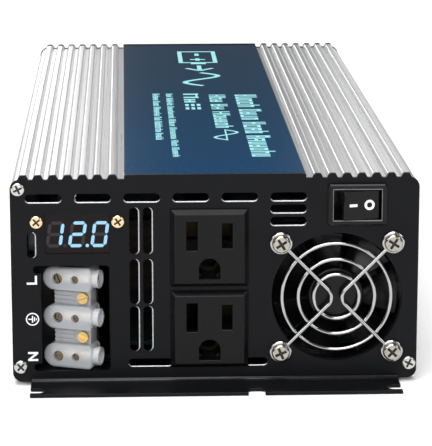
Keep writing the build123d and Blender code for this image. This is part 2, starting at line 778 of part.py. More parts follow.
def fan_spider():
    """Four struts that carry the motor base and its bearing tube."""
    strut_near = FAN_DEPTH - MOTOR_BASE_T
    strut_w = 2.6
    arms = Sketch()
    for angle in (45, 135):
        arms += Rot(0, 0, angle) * Rectangle(2 * FAN_SIZE, strut_w)
    arms = arms & Circle(FAN_BORE_R)
    spider = local_prism(arms + Circle(HUB_R + 0.6), strut_near, FAN_DEPTH)
    spider += local_prism(Circle(BEARING_R), HUB_FRONT + 3.2, strut_near)
    return spider - local_prism(Circle(SHAFT_R + RUNNING_FIT), 0, FAN_DEPTH)


def fan_stator():
    ring = Circle(STATOR_R) - Circle(BEARING_R)
    notches = Sketch()
    for i in range(4):
        notches += Rot(0, 0, 90 * i) * Pos(STATOR_R - 0.8, 0) * Rectangle(2.6, 2.2)
    return local_prism(ring - notches, HUB_FRONT + 3.4, FAN_DEPTH - MOTOR_BASE_T - 0.6)


def fan_blade():
    """One twisted blade from the hub to the tip, along local +X."""
    root_r = HUB_R - 0.6
    stations = ((root_r, 48.0, 8.8), (BLADE_TIP_R + 1.5, 62.0, 18.0))
    sections = []
    for radius, pitch, chord in stations:
        plane = Plane(origin=(radius, 0, 0), x_dir=(0, 1, 0), z_dir=(1, 0, 0))
        sections.append(plane * Rot(0, 0, pitch) * Rectangle(chord, 1.0))
    return loft(sections)


def fan_rotor():
    hub_far = HUB_FRONT + HUB_DEPTH
    middle = (HUB_FRONT + hub_far) / 2 + 0.4
    rotor = local_prism(Circle(HUB_R), HUB_FRONT, hub_far)
    rotor = fillet(rotor.edges().group_by(Axis.Y)[0], 0.8)
    rotor -= local_prism(Circle(HUB_R - 1.2), HUB_FRONT + 1.4, hub_far)
    blades = Part()
    for i in range(BLADE_COUNT):
        blades += Rot(0, 360.0 / BLADE_COUNT * i, 0) * Pos(0, middle, 0) * fan_blade()
    trim = Circle(BLADE_TIP_R) - Circle(HUB_R - 0.3)
    blades = blades & local_prism(trim, HUB_FRONT + 0.6, FAN_DEPTH - MOTOR_BASE_T - 0.6)
    rotor += blades
    rotor += local_prism(Circle(SHAFT_R), HUB_FRONT, FAN_DEPTH - 0.3)
    return rotor


def fan_guard():
    """Wire guard: three rings behind two chevron wires that end in loops round the screws."""
    wire = GUARD_WIRE_R
    spoke_y = -PANEL_T - wire
    ring_y = spoke_y + 2 * wire - 0.1
    guard = Part()
    for radius in GUARD_RINGS:
        guard += Pos(0, ring_y, 0) * Rot(90, 0, 0) * Torus(radius, wire)
    loop_r = 3.4
    bend_r = 4.0
    inner = loop_r / math.sqrt(2)
    for side in (-1, 1):
        start = (side * (FAN_HOLE - inner), FAN_HOLE - inner)
        turn = (side * 0.3, 0.0)
        end = (side * (FAN_HOLE - inner), -FAN_HOLE + inner)
        path = FilletPolyline(start, turn, end, radius=bend_r)
        plane = Plane(origin=(0, spoke_y, 0), x_dir=(1, 0, 0), z_dir=(0, -1, 0))
        path = plane * path
        section = Plane(origin=path @ 0, z_dir=path % 0) * Circle(wire)
        guard += sweep(section, path=path)
        for updown in (-1, 1):
            loop = Rot(90, 0, 0) * Torus(loop_r, wire)
            guard += Pos(side * FAN_HOLE, spoke_y, updown * FAN_HOLE) * loop
    return guard


def fan_screws():
    head_seat = -PANEL_T - 2 * GUARD_WIRE_R
    screw = cross_screw(3.2, 1.9, 1.75, FAN_DEPTH - head_seat + 3.6)
    screws = []
    for dx in (-FAN_HOLE, FAN_HOLE):
        for dz in (-FAN_HOLE, FAN_HOLE):
            turn = Rot(90, 0, 0) * Rot(0, 0, 40 + 12 * dx / FAN_HOLE + 5 * dz / FAN_HOLE)
            screws.append(Pos(dx, head_seat, dz) * turn * screw)
    return screws


def fan_nuts():
    nut = hex_nut(7.0, 3.0, 1.8)
    nuts = []
    for dx in (-FAN_HOLE, FAN_HOLE):
        for dz in (-FAN_HOLE, FAN_HOLE):
            nuts.append(Pos(dx, FAN_DEPTH, dz) * Rot(-90, 0, 0) * nut)
    return nuts


def save_fan(prefix, place):
    save(f"{prefix}_fan_frame", place * fan_ring(), place * fan_spider())
    save(f"{prefix}_fan_stator", place * fan_stator())
    save(f"{prefix}_fan_rotor", place * fan_rotor())
    save(f"{prefix}_fan_guard", place * fan_guard())
    save(f"{prefix}_fan_screws", *[place * screw for screw in fan_screws()])
    save(f"{prefix}_fan_nuts", *[place * nut for nut in fan_nuts()])


# ---- battery terminals ------------------------------------------------------------------------
BASE_T = 4.0
WASHER_T = 1.2
DC_NUT_T = 5.0
BAR_T = 2.0
COLLAR_END = REAR - 5.0


def dc_base(side):
    """Insulating base of one battery terminal, with a collar through the panel."""
    place = Pos(side * DC_X, DC_Z)
    base = prism(place * RectangleRounded(25.0, 25.0, 5.0), REAR, REAR + BASE_T)
    base = fillet(base.edges().group_by(Axis.Y)[-1], 1.2)
    base += prism(place * Circle(8.0), COLLAR_END, REAR)
    return base - prism(place * Circle(DC_STUD_R + 0.1), COLLAR_END, REAR + BASE_T)


def stud(x, z, radius, start, thread_end, end):
    """Threaded stud whose free end is slightly relieved, so that a lug goes on easily."""
    thread = prism(Pos(x, z) * Circle(radius), start, thread_end)
    free_end = prism(Pos(x, z) * Circle(radius - THREAD_RELIEF), thread_end, end)
    free_end = chamfer(free_end.edges().group_by(Axis.Y)[-1], 0.5)
    return thread + free_end


def dc_studs():
    thread_end = REAR + BASE_T + WASHER_T + DC_NUT_T + 0.6
    return [
        stud(side * DC_X, DC_Z, DC_STUD_R, DC_STUD_START, thread_end, DC_STUD_END)
        for side in (-1, 1)
    ]


def dc_washers():
    washers = []
    for side in (-1, 1):
        ring = Pos(side * DC_X, DC_Z) * (Circle(8.0) - Circle(DC_STUD_R + 0.1))
        washers.append(prism(ring, REAR + BASE_T, REAR + BASE_T + WASHER_T))
    return washers


def dc_nuts():
    nuts = []
    nut = hex_nut(13.0, DC_NUT_T, DC_STUD_R + 0.05)
    bar_back = COLLAR_END - BAR_T
    for side in (-1, 1):
        nuts.append(facing_rear(side * DC_X, REAR + BASE_T + WASHER_T, DC_Z) * nut)
        nuts.append(facing_front(side * DC_X, bar_back, DC_Z) * nut)
    return nuts


def bus_bars():
    """Copper angle from each stud down to the main board."""
    bars = []
    half_w = 7.5
    near = COLLAR_END - BAR_T
    for side in (-1, 1):
        x = side * DC_X
        bar = block(x - half_w, x + half_w, near, COLLAR_END, BOARD_TOP, DC_Z + PLATE_T + 9)
        bar += block(x - half_w, x + half_w, 112, COLLAR_END, BOARD_TOP, BOARD_TOP + BAR_T)
        bar -= prism(Pos(x, DC_Z) * Circle(DC_STUD_R + 0.1), near, COLLAR_END)
        bars.append(bar)
    return bars


def ground_terminal():
    """Earth stud with its outer and inner nuts."""
    nut_h = 3.5
    earth = stud(GROUND_X, GROUND_Z, 2.5, INNER_REAR - 8, REAR + nut_h + 0.6, REAR + 11)
    nut = hex_nut(8.0, nut_h, 2.55)
    outer = facing_rear(GROUND_X, REAR, GROUND_Z) * nut
    inner = facing_front(GROUND_X, INNER_REAR, GROUND_Z) * nut
    return [earth, outer, inner]


# ---- electronics ------------------------------------------------------------------------------
STANDOFF_X = 56.0
STANDOFF_Y = (-124.0, 0.0, 104.0)


def standoff_places():
    return [(side * STANDOFF_X, y) for side in (-1, 1) for y in STANDOFF_Y]


def main_board():
    board = block(-BOARD_HALF_W, BOARD_HALF_W, BOARD_FRONT, BOARD_REAR, BOARD_TOP - BOARD_T, BOARD_TOP)
    for x, y in standoff_places():
        board -= Pos(x, y, BOARD_TOP) * Cylinder(1.6, 4 * BOARD_T)
    return board


def board_standoffs():
    pillar = extrude(RegularPolygon(3.0, 6, major_radius=False), STANDOFF_H)
    pillar -= Pos(0, 0, STANDOFF_H / 2) * Cylinder(1.55, STANDOFF_H)
    return [Pos(x, y, PLATE_T) * pillar for x, y in standoff_places()]


def board_screws():
    screw = cross_screw(2.9, 2.0, 1.5, 6.0)
    return [Pos(x, y, BOARD_TOP) * screw for x, y in standoff_places()]


TRANSFORMER_PLACES = ((-30.0, -70.0), (30.0, -70.0), (0.0, -12.0))
CORE_W = 42.0
CORE_T = 20.0
CORE_LEG = 12.0
CORE_WINDOW = 8.5


def transformer_cores():
    """Ferrite E-core pairs, standing on the board with the middle leg upright."""
    outline = Rectangle(CORE_W, CORE_W)
    offset = (CORE_LEG + CORE_WINDOW) / 2
    for side in (-1, 1):
        outline -= Pos(side * offset, 0) * Rectangle(CORE_WINDOW, 29.0)
    core = extrude(Plane.XZ * outline, CORE_T / 2, both=True)
    middle_z = BOARD_TOP + CORE_W / 2
    return [Pos(x, y, middle_z) * core for x, y in TRANSFORMER_PLACES]


def transformer_windings():
    outer = RectangleRounded(CORE_LEG + 2 * CORE_WINDOW - 0.4, CORE_T + 14.0, 5.0)
    ring = outer - Rectangle(CORE_LEG + 0.2, CORE_T + 0.2)
    winding = extrude(ring, 14.0, both=True)
    middle_z = BOARD_TOP + CORE_W / 2
    return [Pos(x, y, middle_z) * winding for x, y in TRANSFORMER_PLACES]


def capacitors(places, radius, height):
    can = Pos(0, 0, height / 2) * Cylinder(radius, height)
    can = fillet(can.edges().group_by(Axis.Z)[-1], 1.0)
    groove = Torus(radius + 0.4, 0.9)
    can -= Pos(0, 0, 4.0) * groove
    return [Pos(x, y, BOARD_TOP) * can for x, y in places]


def bulk_capacitors():
    return capacitors([(-32.0, 16.0 + 26.0 * i) for i in range(3)], 11.0, 42.0)


def input_capacitors():
    places = [(-22.0 + 15.0 * i, y) for i in range(4) for y in (98.0, 116.0)]
    return capacitors(places, 6.5, 26.0)


MOSFET_Y = [-112.0 + 17.0 * i for i in range(6)] + [30.0 + 17.0 * i for i in range(5)]
PAD_T = 0.4
MOSFET_Z = BOARD_TOP + 5.0


def transistors():
    """Power transistors along both walls, with their legs in the board."""
    parts = []
    wall = WALL_INNER - PAD_T
    for side in (-1, 1):
        for y in MOSFET_Y:
            body = block(-4.6, 0, -5.0, 5.0, 0, 15.0) + block(-1.4, 0, -5.0, 5.0, 15.0, 19.0)
            for dy in (-2.54, 0, 2.54):
                body += block(-3.1, -2.5, dy - 0.4, dy + 0.4, -1.5, 0)
                # each leg leans inward to reach the board
                body += block(-7.0, -2.5, dy - 0.4, dy + 0.4, -2.1, -1.5)
                body += block(-7.0, -6.4, dy - 0.4, dy + 0.4, BOARD_TOP - MOSFET_Z, -1.5)
            placed = Pos(side * wall, y, MOSFET_Z) * Rot(0, 0, 0 if side > 0 else 180) * body
            parts.append(placed)
    return parts


def clamp_groups():
    return ((MOSFET_Y[0], MOSFET_Y[5]), (MOSFET_Y[6], MOSFET_Y[-1]))


def insulator_pads():
    pads = []
    for side in (-1, 1):
        for y_first, y_last in clamp_groups():
            x0, x1 = sorted((side * (WALL_INNER - PAD_T), side * WALL_INNER))
            pads.append(block(x0, x1, y_first - 8, y_last + 8, MOSFET_Z - 1, MOSFET_Z + 21))
    return pads


def clamp_bars():
    """Bars that press the transistors to the walls."""
    bars = []
    tab = WALL_INNER - PAD_T
    for side in (-1, 1):
        for y_first, y_last in clamp_groups():
            x0, x1 = sorted((side * (tab - 4.6 - 3.0), side * (tab - 4.6)))
            bars.append(block(x0, x1, y_first - 8, y_last + 8, MOSFET_Z + 4, MOSFET_Z + 12))
    return bars


CHOKE_PLACE = (28.0, 48.0)


def choke_core():
    ring = Cylinder(18.0, 13.0) - Cylinder(10.0, 13.0)
    return Pos(*CHOKE_PLACE, BOARD_TOP + 9.0) * ring


def choke_winding():
    """Wound wire round the core, as one band of turns with a gap for the tails."""
    band = Cylinder(20.5, 18.0) - Cylinder(7.5, 18.0)
    band -= Cylinder(18.0, 13.0) - Cylinder(10.0, 13.0)
    band -= block(0, 30, -4, 4, -10, 10)
    return Pos(*CHOKE_PLACE, BOARD_TOP + 9.0) * Rot(0, 0, -90) * band


def blade_fuses():
    fuses = []
    for i in range(4):
        x = -18.0 + 12.0 * i
        fuses.append(block(x - 2.6, x + 2.6, 76.0, 88.0, BOARD_TOP, BOARD_TOP + 14.0))
    return fuses


def control_board():
    """Small upright board with the control circuit, and its chip."""
    x = 0.0
    board = block(x - 0.8, x + 0.8, 12.0, 66.0, BOARD_TOP, BOARD_TOP + 34.0)
    chip = block(x + 0.8, x + 2.8, 30.0, 48.0, BOARD_TOP + 12.0, BOARD_TOP + 20.0)
    return board + chip


LEAD_R = 1.4
LEAD_X = (-60.0, -51.0, -42.0)
LEAD_Z = 30.0


def output_leads():
    """Live, earth and neutral leads from the back of the terminal tray to the board."""
    leads = []
    start_y = INNER_FRONT + TRAY_DEPTH
    turn_y = start_y + 14.0
    for x in LEAD_X:
        points = [(x, start_y, LEAD_Z), (x, turn_y, LEAD_Z), (x, turn_y, BOARD_TOP)]
        path = FilletPolyline(*points, radius=6.0)
        section = Plane(origin=path @ 0, z_dir=path % 0) * Circle(LEAD_R)
        leads.append(sweep(section, path=path))
    return leads


# ---- writing ----------------------------------------------------------------------------------
def save_housing():
    save("top_shell", top_shell())
    save("bottom_plate", bottom_plate())
    save("front_panel", front_panel())
    save("rear_panel", rear_panel())
    save("label_plate", label_plate())
    save("front_corner_screws", *front_corner_screws())
    save("rear_corner_screws", *rear_corner_screws())
    save("bottom_screws", *countersunk_screws())


def save_front():
    for name, step in (("lower", 0), ("upper", 1)):
        z = OUTLET_LOWER_Z + step * OUTLET_PITCH
        save(f"{name}_outlet", outlet(z))
        save(f"{name}_outlet_contacts", *outlet_contacts(z))
    save("switch_housing", switch_housing())
    save("power_rocker", power_rocker())
    save("switch_terminals", *switch_terminals())
    lit, unlit = display_sketches()
    save("display_module", display_module())
    save("display_segments_lit", *segments(lit))
    save("display_segments_unlit", *segments(unlit))
    save("display_board", display_board())
    save("display_screws", *display_screws())
    save("terminal_tray", terminal_tray())
    save("terminal_block", terminal_block())
    save("terminal_inserts", *terminal_inserts())
    save("terminal_clamp_screws", *terminal_clamp_screws())
    save("terminal_block_screws", *terminal_block_screws())
    save("live_sleeve", live_sleeve())


def save_rear():
    save("positive_base", dc_base(1))
    save("negative_base", dc_base(-1))
    save("dc_studs", *dc_studs())
    save("dc_washers", *dc_washers())
    save("dc_nuts", *dc_nuts())
    save("bus_bars", *bus_bars())
    save("ground_terminal", *ground_terminal())


def save_electronics():
    save("main_board", main_board())
    save("board_standoffs", *board_standoffs())
    save("board_screws", *board_screws())
    save("transformer_cores", *transformer_cores())
    save("transformer_windings", *transformer_windings())
    save("bulk_capacitors", *bulk_capacitors())
    save("input_capacitors", *input_capacitors())
    save("transistors", *transistors())
    save("insulator_pads", *insulator_pads())
    save("clamp_bars", *clamp_bars())
    save("choke_core", choke_core())
    save("choke_winding", choke_winding())
    save("blade_fuses", *blade_fuses())
    save("control_board", control_board())
    save("output_leads", *output_leads())


def main():
    os.makedirs("parts", exist_ok=True)
    save_housing()
    save_front()
    save_fan("front", Pos(FAN_X, INNER_FRONT, FAN_Z + PLATE_T))
    save_fan("rear", Pos(0, INNER_REAR, REAR_FAN_Z + PLATE_T) * Rot(0, 0, 180))
    save_rear()
    save_electronics()


main()
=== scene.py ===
import json
import math
import random

import bmesh
import bpy
from mathutils import Euler, Matrix, Vector


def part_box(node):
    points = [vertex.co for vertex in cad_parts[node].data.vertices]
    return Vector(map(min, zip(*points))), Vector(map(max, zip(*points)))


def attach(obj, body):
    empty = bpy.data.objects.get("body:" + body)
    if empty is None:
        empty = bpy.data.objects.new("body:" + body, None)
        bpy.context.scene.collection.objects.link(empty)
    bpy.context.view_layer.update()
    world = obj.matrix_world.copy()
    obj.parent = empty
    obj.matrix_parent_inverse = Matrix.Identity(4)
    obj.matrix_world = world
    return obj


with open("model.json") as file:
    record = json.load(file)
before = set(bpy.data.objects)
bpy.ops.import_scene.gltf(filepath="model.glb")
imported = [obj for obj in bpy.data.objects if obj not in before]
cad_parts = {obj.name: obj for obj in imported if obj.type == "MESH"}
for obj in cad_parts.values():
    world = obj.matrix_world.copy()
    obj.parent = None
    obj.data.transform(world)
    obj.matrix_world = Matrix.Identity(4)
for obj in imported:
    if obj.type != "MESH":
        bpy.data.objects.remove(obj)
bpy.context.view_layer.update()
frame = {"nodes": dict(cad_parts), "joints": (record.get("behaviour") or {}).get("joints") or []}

MM = 0.001

# ---- camera, lights and floor -----------------------------------------------------------------
CAMERA_PLACE = (-0.0315, -0.954, 0.2382)
CAMERA_DOWN = 12.71        # degrees below level
CAMERA_RIGHT = 2.29        # degrees to the right of straight ahead
CAMERA_LENS = 185.6


def make_camera():
    data = bpy.data.cameras.new("camera")
    data.lens = CAMERA_LENS
    data.sensor_width = 36.0
    data.sensor_fit = "AUTO"
    data.clip_start = 0.01
    data.clip_end = 50.0
    camera = bpy.data.objects.new("camera", data)
    camera.location = CAMERA_PLACE
    turn = (math.radians(90 - CAMERA_DOWN), 0, math.radians(-CAMERA_RIGHT))
    camera.rotation_euler = Euler(turn, "XYZ")
    bpy.context.scene.collection.objects.link(camera)
    bpy.context.scene.camera = camera


SUN_STRENGTH = 2.45
SUN_WIDTH = 42             # degrees across, which keeps its shadows soft
SUN_DIRECTION = (0.12, 0.25, -1.0)
WORLD_STRENGTH = 0.11
FRONT_CENTRE = (0, -0.16, 0.04)
# name, place, target, size and power of each panel of light
AREA_LIGHTS = (
    ("key_left", (-1.1, -1.0, 0.8), FRONT_CENTRE, (0.5, 0.5), 4.0),
    ("key_right", (1.2, -0.9, 0.8), FRONT_CENTRE, (0.5, 0.5), 4.0),
    ("front_fill", (-0.3, -2.0, 1.1), FRONT_CENTRE, (1.6, 1.0), 30.0),
    # low cards behind the object, which the ribbed top reflects on both sides of the film
    ("back_card_left", (-0.37, 1.6, 0.6), (-0.37, 0, 0.6), (0.58, 0.9), 4.1),
    ("back_card_right", (0.41, 1.6, 0.6), (0.41, 0, 0.6), (0.42, 0.9), 1.3),
)


def place_light(data, direction, location=(0, 0, 0)):
    light = bpy.data.objects.new(data.name, data)
    light.location = location
    light.rotation_euler = Vector(direction).to_track_quat("-Z", "Y").to_euler()
    light.visible_camera = False
    bpy.context.scene.collection.objects.link(light)


def make_lights():
    sun = bpy.data.lights.new("soft_sun", "SUN")
    sun.energy = SUN_STRENGTH
    sun.angle = math.radians(SUN_WIDTH)
    place_light(sun, SUN_DIRECTION)
    for name, place, target, size, power in AREA_LIGHTS:
        panel = bpy.data.lights.new(name, "AREA")
        panel.shape = "RECTANGLE"
        panel.size, panel.size_y = size
        panel.energy = power
        place_light(panel, Vector(target) - Vector(place), place)


def make_world():
    scene = bpy.context.scene
    scene.view_settings.view_transform = "Standard"
    world = bpy.data.worlds.new("studio")
    world.use_nodes = True
    background = world.node_tree.nodes["Background"]
    background.inputs["Color"].default_value = (1.0, 1.0, 1.0, 1.0)
    background.inputs["Strength"].default_value = WORLD_STRENGTH
    scene.world = world


FLOOR_HALF = 6.0
FLOOR_DROP = 0.2 * MM      # keeps the floor clear of the underside


def make_floor():
    mesh = bpy.data.meshes.new("floor")
    corners = [(x * FLOOR_HALF, y * FLOOR_HALF, 0) for x, y in ((-1, -1), (1, -1), (1, 1), (-1, 1))]
    mesh.from_pydata(corners, [], [(0, 1, 2, 3)])
    floor = bpy.data.objects.new("floor", mesh)
    floor.location.z = -FLOOR_DROP
    bpy.context.scene.collection.objects.link(floor)
    material = bpy.data.materials.new("floor")
    material.use_nodes = True
    shader = material.node_tree.nodes["Principled BSDF"]
    shader.inputs["Base Color"].default_value = (0.99, 0.99, 0.99, 1)
    shader.inputs["Roughness"].default_value = 0.9
    mesh.materials.append(material)


# ---- materials --------------------------------------------------------------------------------
class Graph:
    """A material's node graph, with short calls for the nodes that all materials share."""

    def __init__(self, name):
        self.name = name
        self.material = bpy.data.materials.new(name)
        self.material.use_nodes = True
        self.tree = self.material.node_tree
        self.shader = self.tree.nodes["Principled BSDF"]
        self.place = self.tree.nodes.new("ShaderNodeTexCoord").outputs["Object"]

    def node(self, kind, **inputs):
        made = self.tree.nodes.new(kind)
        for name, value in inputs.items():
            made.inputs[name.replace("_", " ")].default_value = value
        return made

    def link(self, source, target):
        self.tree.links.new(source, target)

    def stretched(self, scale):
        """Object coordinates, scaled differently along each axis."""
        mapping = self.node("ShaderNodeMapping")
        mapping.inputs["Scale"].default_value = scale
        self.link(self.place, mapping.inputs["Vector"])
        return mapping.outputs["Vector"]

    def noise(self, scale, detail=3.0):
        texture = self.node("ShaderNodeTexNoise", Scale=1.0, Detail=detail, Roughness=0.6)
        self.link(self.stretched(scale), texture.inputs["Vector"])
        return texture.outputs["Fac"]

    def span(self, value, low, high, start=0.3, end=0.7):
        """Map a texture value to a number between low and high."""
        mapped = self.node("ShaderNodeMapRange")
        mapped.inputs["From Min"].default_value = start
        mapped.inputs["From Max"].default_value = end
        mapped.inputs["To Min"].default_value = low
        mapped.inputs["To Max"].default_value = high
        self.link(value, mapped.inputs["Value"])
        return mapped.outputs["Result"]

    def ramp(self, value, stops):
        """Map a texture value to a colour; stops are (position, colour)."""
        ramp = self.node("ShaderNodeValToRGB")
        elements = ramp.color_ramp.elements
        while len(elements) < len(stops):
            elements.new(0.5)
        for element, (position, colour) in zip(elements, stops):
            element.position = position
            element.color = (*colour, 1.0)
        self.link(value, ramp.inputs["Fac"])
        return ramp.outputs["Color"]

    def bump(self, height, strength, distance):
        bump = self.node("ShaderNodeBump", Strength=strength, Distance=distance)
        self.link(height, bump.inputs["Height"])
        self.link(bump.outputs["Normal"], self.shader.inputs["Normal"])

    def set(self, **values):
        for name, value in values.items():
            self.shader.inputs[name.replace("_", " ")].default_value = value


GRAIN_DEPTH = 0.00003


def tinted(colour, factor):
    return tuple(min(1.0, channel * factor) for channel in colour)


def finish(name, colour, roughness, metallic=0.0, vary=0.12, vary_scale=300.0, grain=2500.0,
           grain_strength=0.1, specular=0.5):
    """A moulded, plated or coated surface: mottled colour, uneven gloss and a fine grain."""
    g = Graph(name)
    scale = vary_scale if isinstance(vary_scale, tuple) else (vary_scale,) * 3
    mottle = g.noise(scale)
    darker, lighter = tinted(colour, 1 - vary), tinted(colour, 1 + vary)
    g.link(g.ramp(mottle, ((0.3, darker), (0.7, lighter))), g.shader.inputs["Base Color"])
    gloss = g.span(g.noise(tuple(1.7 * s for s in scale)), roughness * 0.85, roughness * 1.15)
    g.link(gloss, g.shader.inputs["Roughness"])
    g.bump(g.noise((grain,) * 3, 2.0), grain_strength, GRAIN_DEPTH)
    g.set(Metallic=metallic, Specular_IOR_Level=specular)
    return g


def metal(name, colour, roughness, vary=0.15, vary_scale=700.0, grain_strength=0.15):
    """Bare or plated metal with a fine brushed grain."""
    return finish(name, colour, roughness, metallic=1.0, vary=vary, vary_scale=vary_scale,
                  grain=1500.0, grain_strength=grain_strength)


def extruded_aluminium():
    """Satin anodised extrusion with faint die lines running lengthwise."""
    g = Graph("extruded_aluminium")
    lines = g.noise((1400.0, 3.0, 1400.0), 4.0)
    bands = g.noise((180.0, 1.5, 180.0), 2.0)
    shades = ((0.3, (0.62, 0.62, 0.63)), (0.7, (0.72, 0.72, 0.72)))
    g.link(g.ramp(bands, shades), g.shader.inputs["Base Color"])
    g.link(g.span(lines, 0.26, 0.38), g.shader.inputs["Roughness"])
    g.bump(lines, 0.10, GRAIN_DEPTH)
    g.set(Metallic=0.85)
    return g


def label_film():
    """Blue film, strong blue at the front and greyer towards the back: the greying is a painted
    reflection of the bright surroundings at the grazing far end.
    """
    g = Graph("label_film")
    low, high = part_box("label_plate")
    split = g.node("ShaderNodeSeparateXYZ")
    g.link(g.place, split.inputs["Vector"])
    along = g.span(split.outputs["Y"], 0.0, 1.0, low.y, high.y)
    # front to back colours; the greyer back is painted reflection
    front, middle, back = (0.001, 0.042, 0.112), (0.005, 0.037, 0.083), (0.014, 0.034, 0.062)
    shade = ((0.0, front), (0.45, middle), (1.0, back))
    g.link(g.ramp(along, shade), g.shader.inputs["Base Color"])
    g.link(g.span(g.noise((500.0,) * 3), 0.20, 0.27), g.shader.inputs["Roughness"])
    g.bump(g.noise((1800.0,) * 3, 2.0), 0.03, 0.00002)
    g.set(Specular_IOR_Level=0.03)
    return g


def circuit_board():
    """Green solder mask over copper tracks, darkened almost to black as painted shade inside the closed
    case.
    """
    g = Graph("circuit_board")
    bricks = g.node("ShaderNodeTexBrick", Scale=1.0, Mortar_Size=0.09)
    # near-black greens: painted shade of the inside of the case
    bricks.inputs["Color1"].default_value = (0.002, 0.016, 0.007, 1)
    bricks.inputs["Color2"].default_value = (0.002, 0.013, 0.006, 1)
    bricks.inputs["Mortar"].default_value = (0.006, 0.03, 0.014, 1)
    g.link(g.stretched((420.0, 420.0, 420.0)), bricks.inputs["Vector"])
    g.link(bricks.outputs["Color"], g.shader.inputs["Base Color"])
    g.link(g.span(g.noise((600.0,) * 3), 0.25, 0.4), g.shader.inputs["Roughness"])
    g.bump(bricks.outputs["Fac"], 0.3, GRAIN_DEPTH)
    return g


def wound(name, colour, roughness, metallic, turns_per_m, direction):
    """A wound or taped part: ridges across the turns, with the colour darkened in their grooves as
    painted shade.
    """
    g = Graph(name)
    wave = g.node("ShaderNodeTexWave", Scale=turns_per_m, Distortion=0.6, Detail=1.0)
    wave.bands_direction = direction
    g.link(g.place, wave.inputs["Vector"])
    # darker where the bump is low, in the grooves between turns: painted shade
    stops = ((0.1, tinted(colour, 0.55)), (0.6, colour))
    g.link(g.ramp(wave.outputs["Fac"], stops), g.shader.inputs["Base Color"])
    g.link(g.span(g.noise((400.0,) * 3), roughness * 0.8, roughness * 1.2), g.shader.inputs["Roughness"])
    g.bump(wave.outputs["Fac"], 0.5, 0.0002)
    g.set(Metallic=metallic)
    return g


def clear_nylon():
    """Milky translucent moulding of the terminal block: the inserts show through it faintly."""
    g = finish("clear_nylon", (0.72, 0.75, 0.78), 0.22, vary=0.02, vary_scale=250.0, grain=500.0,
               grain_strength=0.03)
    g.set(Alpha=0.42)
    return g


def lit_segment():
    g = finish("lit_segment", (0.05, 0.10, 0.14), 0.4, vary=0.04)
    g.shader.inputs["Emission Color"].default_value = (0.30, 0.60, 0.90, 1)
    g.set(Emission_Strength=0.95)
    return g


BLACK = (0.0032, 0.0034, 0.0043)


def metals():
    return [
        metal("zinc", (0.52, 0.52, 0.50), 0.20, vary_scale=900.0),
        metal("nickel", (0.40, 0.38, 0.33), 0.18, vary=0.18),
        metal("brass", (0.58, 0.40, 0.16), 0.24, vary=0.07, vary_scale=400.0, grain_strength=0.10),
        # dark base so that the wells of the terminal block read dark: painted shade in the wells
        metal("clamp_screw", (0.13, 0.10, 0.07), 0.12, vary=0.2),
        # near black: painted shade deep inside the outlet slots
        metal("painted_slot_shade", (0.035, 0.026, 0.012), 0.4, vary=0.2),
        metal("copper_screw", (0.80, 0.58, 0.36), 0.20, vary_scale=800.0),
        metal("copper", (0.80, 0.40, 0.24), 0.3, vary_scale=500.0, grain_strength=0.12),
        metal("bar", (0.70, 0.70, 0.71), 0.34, vary=0.10, vary_scale=(900.0, 12.0, 900.0),
              grain_strength=0.12),
        # metal of the vent rims: partly bare punched edge, partly painted highlight
        metal("bare_edge_highlight", (0.45, 0.45, 0.47), 0.25, vary=0.2, vary_scale=900.0, grain_strength=0.1),
        finish("chrome", (0.43, 0.43, 0.43), 0.13, metallic=1.0, vary=0.05, grain=1200.0,
               grain_strength=0.05),
        wound("coil", (0.72, 0.32, 0.12), 0.3, metallic=1.0, turns_per_m=110.0, direction="DIAGONAL"),
        extruded_aluminium(),
    ]


def paints_and_plastics():
    dark = (0.003, 0.003, 0.0035)
    return [
        finish("powder_coat", BLACK, 0.38, vary=0.10, vary_scale=120.0, grain=2600.0,
               grain_strength=0.2, specular=0.13),
        # lighter and glossier than the black coat: a painted highlight along the flange bends
        finish("bend_highlight_coat", (0.012, 0.012, 0.014), 0.24, vary=0.2, grain_strength=0.05, specular=0.25),
        # near black for the floors of the screws' driver recesses: painted shade
        finish("painted_recess_shade", (0.040, 0.036, 0.030), 0.6, vary=0.3, vary_scale=900.0, specular=0.2),
        finish("moulded", (0.0032, 0.0033, 0.0038), 0.30, vary=0.10, vary_scale=200.0, grain=3000.0,
               specular=0.16),
        finish("gloss_black", dark, 0.22, vary=0.10, vary_scale=200.0, grain=1500.0,
               grain_strength=0.03, specular=0.2),
        finish("fan_black", dark, 0.24, vary=0.15, vary_scale=150.0, grain=1200.0,
               grain_strength=0.05, specular=0.2),
        finish("display", (0.004, 0.0016, 0.002), 0.12, vary=0.15, vary_scale=180.0, grain=1200.0,
               grain_strength=0.02, specular=0.15),
        finish("unlit_segment", (0.016, 0.012, 0.013), 0.3, vary=0.08, specular=0.3),
        finish("red", (0.35, 0.018, 0.02), 0.3, vary=0.08, grain_strength=0.06),
        finish("sleeve", (0.012, 0.014, 0.022), 0.25, grain_strength=0.05),
        finish("epoxy", (0.02, 0.02, 0.02), 0.5, vary=0.15, grain_strength=0.2),
        finish("silicone", (0.42, 0.43, 0.43), 0.6, vary=0.06, grain_strength=0.15),
        finish("fuse", (0.60, 0.22, 0.02), 0.25, vary=0.05, grain_strength=0.03),
        finish("insulation", (0.02, 0.02, 0.022), 0.45, vary=0.1),
        finish("ferrite", (0.045, 0.045, 0.05), 0.55, vary=0.25, vary_scale=900.0, grain=3000.0,
               grain_strength=0.35),
        # light grey line on the black bezel: painted highlight along its inner edge
        finish("painted_bezel_highlight", (0.12, 0.12, 0.125), 0.3, vary=0.2, vary_scale=900.0, grain=1500.0),
        finish("pale_print", (0.33, 0.78, 0.82), 0.45, vary=0.05),
        finish("white_print", (0.75, 0.75, 0.75), 0.5, vary=0.04),
        # tape darkened almost to black: painted shade inside the case
        wound("tape", (0.045, 0.027, 0.008), 0.45, metallic=0.0, turns_per_m=60.0, direction="Z"),
        clear_nylon(),
        label_film(),
        lit_segment(),
        circuit_board(),
    ]


def make_materials():
    """All materials by the name that this script gives them."""
    return {graph.name: graph.material for graph in metals() + paints_and_plastics()}


